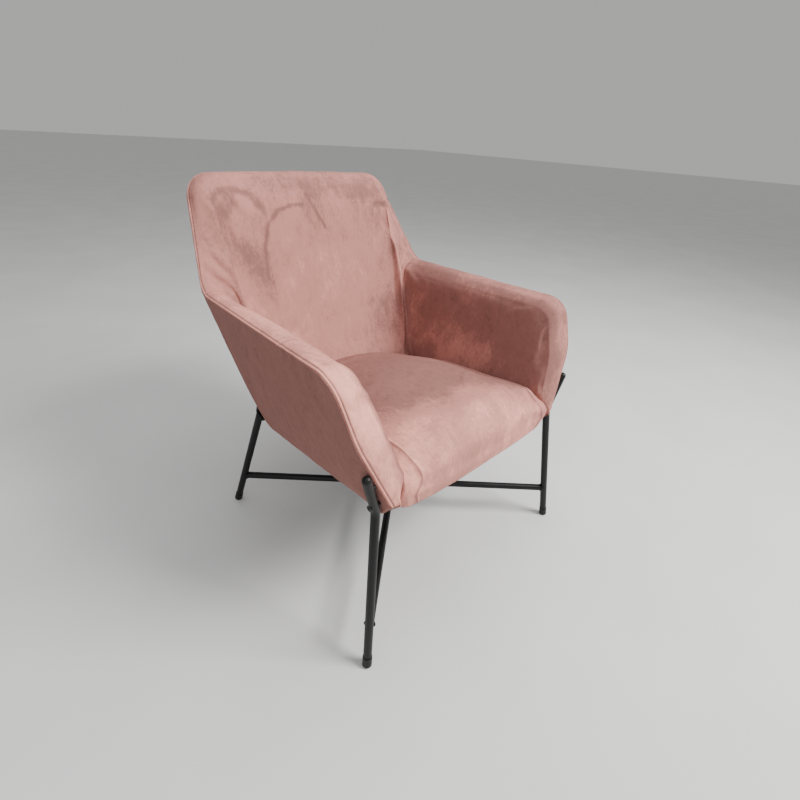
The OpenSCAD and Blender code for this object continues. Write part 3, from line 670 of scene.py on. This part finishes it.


# Nap of a shell pad: random tone and brushed marks, plus painted shade and painted highlights
def shell_nap_and_shading(data, strokes, side, darts):
    s, u, grid = data
    v = np.interp(u, SECTION_U, SECTION_V)
    inside = ease((u - 0.6 * WALL) / 0.02) * (u < SECTION_U[2])
    nap_and_shading = 0.14 * drift(grid, 0.16) + 0.07 * drift(grid + 5, 0.05)
    # Painted shade: the outside covers are darkened as if turned away from the light
    nap_and_shading -= 0.66 * ease((u - SECTION_U[2]) / 0.01)
    # Painted shade: the inner faces of the arms are darkened, more towards the bottom by the seat
    nap_and_shading -= inside * ease((np.abs(s) - 1.9) / 0.2) * (0.16 + 0.20 * ease((0.40 - v) / 0.35))
    station = s * side
    for path, width, dark in strokes:
        ragged = 1.15 + 0.40 * drift(grid + width * 40, 0.018)
        nap_and_shading -= inside * dark * ragged * stroke(station, v, path, width)
    # Painted highlight on the left arm's top band and slight painted shade on the right arm's, for how the
    # light falls on each
    band_light_and_shade = ease((1.1 * WALL - u) / 0.016) * ease((np.abs(s) - 1.9) / 0.3)
    nap_and_shading += band_light_and_shade * np.where(s < 0, 0.50 + 0.08 * drift(grid + 3, 0.02), -0.05)
    # Painted highlight just inside the outer seam's edge and painted shade in the groove of the stitch row
    nap_and_shading += 0.45 * dip(np.minimum(u, ROUND - u) - 0.0020, 0.0014) - 0.60 * dip(u - STITCH_IN, 0.0013)
    # Painted shade along the dart's groove
    for dart in darts:
        across = np.abs(s - dart) * along_speed(np.array([dart]))[0]
        first, last = DART_ENDS[abs(dart)]
        nap_and_shading -= 0.9 * dip(across, 0.0018) * ease((last - u) / 0.006) * ease((u - first) / 0.004 + 1)
    return nap_and_shading


# ---- Materials ----
def new_material(name):
    material = bpy.data.materials.new(name)
    material.use_nodes = True
    nodes, links = material.node_tree.nodes, material.node_tree.links
    return material, nodes, links, nodes["Principled BSDF"]


def add(nodes, kind, **settings):
    node = nodes.new(kind)
    for key, value in settings.items():
        if key in node.inputs:
            node.inputs[key].default_value = value
        else:
            setattr(node, key, value)
    return node


def object_noise(nodes, links, scale, detail=4.0, stretch=(1, 1, 1), distortion=0.0, roughness=0.5):
    place = add(nodes, "ShaderNodeTexCoord")
    mapping = add(nodes, "ShaderNodeMapping", Scale=stretch)
    noise = add(nodes, "ShaderNodeTexNoise", Scale=scale, Detail=detail, Distortion=distortion,
                Roughness=roughness)
    links.new(place.outputs["Object"], mapping.inputs["Vector"])
    links.new(mapping.outputs["Vector"], noise.inputs["Vector"])
    return noise.outputs["Fac"]


def math_node(nodes, links, operation, a, b, clamp=False):
    node = add(nodes, "ShaderNodeMath", operation=operation, use_clamp=clamp)
    for i, value in enumerate((a, b)):
        if isinstance(value, (int, float)):
            node.inputs[i].default_value = value
        else:
            links.new(value, node.inputs[i])
    return node.outputs[0]


def ramp(nodes, links, value, stops):
    node = add(nodes, "ShaderNodeValToRGB")
    node.color_ramp.interpolation = "EASE"
    while len(node.color_ramp.elements) < len(stops):
        node.color_ramp.elements.new(0.5)
    for element, (place, colour) in zip(node.color_ramp.elements, stops):
        element.position, element.color = place, (*colour, 1)
    links.new(value, node.inputs["Fac"])
    return node.outputs["Color"]


def bumped(nodes, links, shader, layers):
    """Bump maps in a chain: (height, strength, distance)."""
    last = None
    for height, strength, distance in layers:
        bump = add(nodes, "ShaderNodeBump", Strength=strength, Distance=distance)
        links.new(height, bump.inputs["Height"])
        if last is not None:
            links.new(last, bump.inputs["Normal"])
        last = bump.outputs["Normal"]
    links.new(last, shader.inputs["Normal"])


VELVET_TONES = ((0.14, (0.135, 0.066, 0.058)), (0.36, (0.265, 0.122, 0.105)), (0.56, (0.470, 0.207, 0.175)),
                (0.88, (0.880, 0.390, 0.315)))
# How strongly the nap attribute, with its painted light and shade, moves the velvet's tone
NAP_AND_SHADING_WEIGHT = 0.42
SHEEN_TINT = (1.0, 0.58, 0.52, 1)


def velvet(name):
    material, nodes, links, shader = new_material(name)
    # The velvet's base colour reads the nap attribute, which holds brushed marks and also painted light and
    # shade
    nap_and_shading = add(nodes, "ShaderNodeAttribute", attribute_name="nap_and_shading").outputs["Fac"]
    blotch = object_noise(nodes, links, 7, 4, distortion=0.8, roughness=0.55)
    brush = object_noise(nodes, links, 24, 5, stretch=(1.7, 1.2, 0.5), distortion=1.3, roughness=0.6)
    pile = object_noise(nodes, links, 900, 2, roughness=0.7)
    lint = object_noise(nodes, links, 150, 4, stretch=(1.4, 1.2, 0.8), roughness=0.65)
    tone = math_node(nodes, links, "MULTIPLY", nap_and_shading, NAP_AND_SHADING_WEIGHT)
    for layer, weight in ((blotch, 0.34), (brush, 0.28), (lint, 0.26), (pile, 0.12)):
        share = math_node(nodes, links, "MULTIPLY", layer, weight)
        tone = math_node(nodes, links, "ADD", tone, share, clamp=True)
    colour = ramp(nodes, links, tone, VELVET_TONES)
    links.new(colour, shader.inputs["Base Color"])
    rough = math_node(nodes, links, "ADD", math_node(nodes, links, "MULTIPLY", brush, -0.18), 0.90)
    links.new(rough, shader.inputs["Roughness"])
    shader.inputs["Specular IOR Level"].default_value = 0.10
    shader.inputs["Sheen Weight"].default_value = 0.16
    shader.inputs["Sheen Roughness"].default_value = 0.30
    shader.inputs["Sheen Tint"].default_value = SHEEN_TINT
    bumped(nodes, links, shader, ((brush, 0.16, 0.0012), (lint, 0.22, 0.0006), (pile, 0.25, 0.0003)))
    return material


def coated(name, colour, low, high, grain, bump, metallic=0.0, specular=0.5):
    """A plain coated or moulded surface: slight colour drift, uneven gloss and a fine bump."""
    material, nodes, links, shader = new_material(name)
    cloud = object_noise(nodes, links, 22, 4, roughness=0.6)
    fine = object_noise(nodes, links, grain, 2)
    shade = tuple(c * 1.5 + 0.001 for c in colour)
    links.new(ramp(nodes, links, cloud, ((0.3, colour), (0.75, shade))), shader.inputs["Base Color"])
    rough = math_node(nodes, links, "ADD", math_node(nodes, links, "MULTIPLY", cloud, high - low), low)
    links.new(rough, shader.inputs["Roughness"])
    shader.inputs["Metallic"].default_value = metallic
    shader.inputs["Specular IOR Level"].default_value = specular
    bumped(nodes, links, shader, ((fine, bump, 0.0004),))
    return material


def plywood():
    material, nodes, links, shader = new_material("plywood")
    grain = object_noise(nodes, links, 14, 6, stretch=(1, 1, 12), distortion=0.8)
    tones = ((0.3, (0.36, 0.22, 0.11)), (0.7, (0.60, 0.42, 0.25)))
    links.new(ramp(nodes, links, grain, tones), shader.inputs["Base Color"])
    shader.inputs["Roughness"].default_value = 0.7
    bumped(nodes, links, shader, ((grain, 0.2, 0.0005),))
    return material


def dust_cloth():
    material, nodes, links, shader = new_material("dust_cloth")
    fibre = object_noise(nodes, links, 160, 5, stretch=(1, 3, 1), distortion=1.5, roughness=0.7)
    tones = ((0.3, (0.012, 0.012, 0.014)), (0.7, (0.045, 0.045, 0.050)))
    links.new(ramp(nodes, links, fibre, tones), shader.inputs["Base Color"])
    shader.inputs["Roughness"].default_value = 0.95
    bumped(nodes, links, shader, ((fibre, 0.4, 0.0005),))
    return material


def thread():
    material, nodes, links, shader = new_material("thread")
    twist = object_noise(nodes, links, 1400, 2, distortion=1.0)
    tones = ((0.3, (0.30, 0.135, 0.125)), (0.7, (0.47, 0.25, 0.235)))
    links.new(ramp(nodes, links, twist, tones), shader.inputs["Base Color"])
    shader.inputs["Roughness"].default_value = 0.6
    shader.inputs["Sheen Weight"].default_value = 0.2
    bumped(nodes, links, shader, ((twist, 0.3, 0.0002),))
    return material

# ---- Building the pieces ----
SEAM_GAP = 0.0008
VELVET = velvet("velvet")
THREAD = thread()
# Each pad of the shell: name, first and last station, cross seams, brushed marks with any painted dart shade,
# side, CAD nodes replaced
SHELL_PADS = (
    ("back_upholstery", -SEAM_STATION + SEAM_GAP, SEAM_STATION - SEAM_GAP, [], BACK_STROKES, 1,
     ("outside_back_cover", "inside_back_cover", "back_wadding", "back_foam", "edge_roll_back")),
    ("arm_upholstery_right", SEAM_STATION + SEAM_GAP, ARM_END, [], ARM_STROKES, 1,
     ("outside_arm_cover_right", "inside_arm_cover_right", "arm_wadding_right", "arm_foam_right",
      "edge_roll_right")),
    ("arm_upholstery_left", -ARM_END, -SEAM_STATION - SEAM_GAP, [-DART_ARM], ARM_STROKES, -1,
     ("outside_arm_cover_left", "inside_arm_cover_left", "arm_wadding_left", "arm_foam_left",
      "edge_roll_left")),
)


def finish_piece(obj, material, nodes=()):
    obj.data.materials.append(material)
    obj.data.polygons.foreach_set("use_smooth", [True] * len(obj.data.polygons))
    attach(obj, ROOT)
    if nodes:
        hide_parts(*nodes)


for name, start, end, darts, strokes, side, nodes in SHELL_PADS:
    pad, data = shell_pad(name, start, end, darts, SHELL_CAP)
    paint(pad, shell_nap_and_shading(data, strokes, side, darts))
    finish_piece(pad, VELVET, nodes)
    line, normal = grid_line(data, STITCH_IN)
    finish_piece(stitches(name.replace("upholstery", "topstitch"), line, normal), THREAD)

seat, seat_data = seat_pad("seat_cushion", SEAT_CAP)
seat_grid = seat_data[2]
# The seat's front is painted lighter, partly a painted highlight where the front faces the light and partly
# the nap's brushing
front_highlight_and_nap = ease((-seat_grid[..., 1] - 0.14 - 0.25 * seat_grid[..., 0]) / 0.14)
seat_nap_and_shading = 0.14 * drift(seat_grid, 0.12) + 0.10 * drift(seat_grid + 2, 0.035) - 0.46 + 0.86 * front_highlight_and_nap
# Painted shade in the grooves of the end panels' seams
paint(seat, seat_nap_and_shading - 0.6 * dip((np.abs(seat_data[0]) - SEAT_PANEL) * SEAT_HALF_W, 0.0015))
SEAT_NODES = ("seat_foam", "seat_cover", "seat_end_panel_left", "seat_end_panel_right")
finish_piece(seat, VELVET, SEAT_NODES)

COATED_STEEL = coated("powder_coat", (0.0028, 0.0028, 0.0030), 0.32, 0.52, 1100, 0.20, specular=0.28)
PLASTIC = coated("black_plastic", (0.0035, 0.0035, 0.0035), 0.38, 0.55, 700, 0.12, specular=0.30)
BOLT = coated("black_oxide", (0.020, 0.020, 0.022), 0.25, 0.45, 900, 0.10, metallic=0.6)
ZINC = coated("zinc_plate", (0.42, 0.43, 0.45), 0.25, 0.45, 400, 0.10, metallic=1.0)
SLOT_MATERIALS = {"frame_steel": COATED_STEEL, "black_plastic": PLASTIC, "bolt_steel": BOLT,
                  "zinc_steel": ZINC, "plywood": plywood(), "dust_cloth": dust_cloth()}
SMOOTH_ANGLE = math.radians(32)
for part in frame["record"]["subparts"]:
    obj = frame["nodes"][part["node"]]
    material = SLOT_MATERIALS.get(part["material_slot"])
    if material is None or obj.hide_render:
        continue
    obj.data.materials.clear()
    obj.data.materials.append(material)
    if part["material_slot"] not in ("plywood", "dust_cloth"):
        obj.data.polygons.foreach_set("use_smooth", [True] * len(obj.data.polygons))
        obj.data.set_sharp_from_angle(angle=SMOOTH_ANGLE)

# ---- Floor, light and world ----
lo, hi = cad_box
middle = (lo + hi) / 2
FLOOR_HALF = 30.0
FLOOR_TONES = ((0.3, (0.66, 0.66, 0.655)), (0.7, (0.70, 0.70, 0.695)))
WORLD_COLOUR, WORLD_STRENGTH = (0.88, 0.88, 0.87, 1), 0.52
corners = [(x * FLOOR_HALF, y * FLOOR_HALF, lo.z) for x, y in ((-1, -1), (1, -1), (1, 1), (-1, 1))]
floor = make_object("floor", corners, [(0, 1, 2, 3)])
floor_material, floor_nodes, floor_links, floor_shader = new_material("floor")
speckle = object_noise(floor_nodes, floor_links, 3, 5)
floor_colour = ramp(floor_nodes, floor_links, speckle, FLOOR_TONES)
floor_links.new(floor_colour, floor_shader.inputs["Base Color"])
floor_shader.inputs["Roughness"].default_value = 0.7
floor.data.materials.append(floor_material)


def area_light(name, where, size, power, colour):
    data = bpy.data.lights.new(name, "AREA")
    data.shape, data.size, data.energy, data.color = "SQUARE", size, power, colour
    light = bpy.data.objects.new(name, data)
    bpy.context.scene.collection.objects.link(light)
    light.location = middle + Vector(where)
    light.rotation_mode = "QUATERNION"
    light.rotation_quaternion = (middle - light.location).to_track_quat("-Z", "Y")


area_light("key", (1.1, -1.8, 2.0), 1.1, 128, (1.0, 0.985, 0.965))
area_light("top", (0.2, 0.2, 2.6), 1.8, 32, (0.98, 0.985, 1.0))
area_light("fill", (-1.8, -1.5, 1.1), 2.0, 12, (0.98, 0.985, 1.0))
world = bpy.data.worlds.new("world")
world.use_nodes = True
background = world.node_tree.nodes["Background"]
background.inputs["Color"].default_value = WORLD_COLOUR
background.inputs["Strength"].default_value = WORLD_STRENGTH
bpy.context.scene.world = world
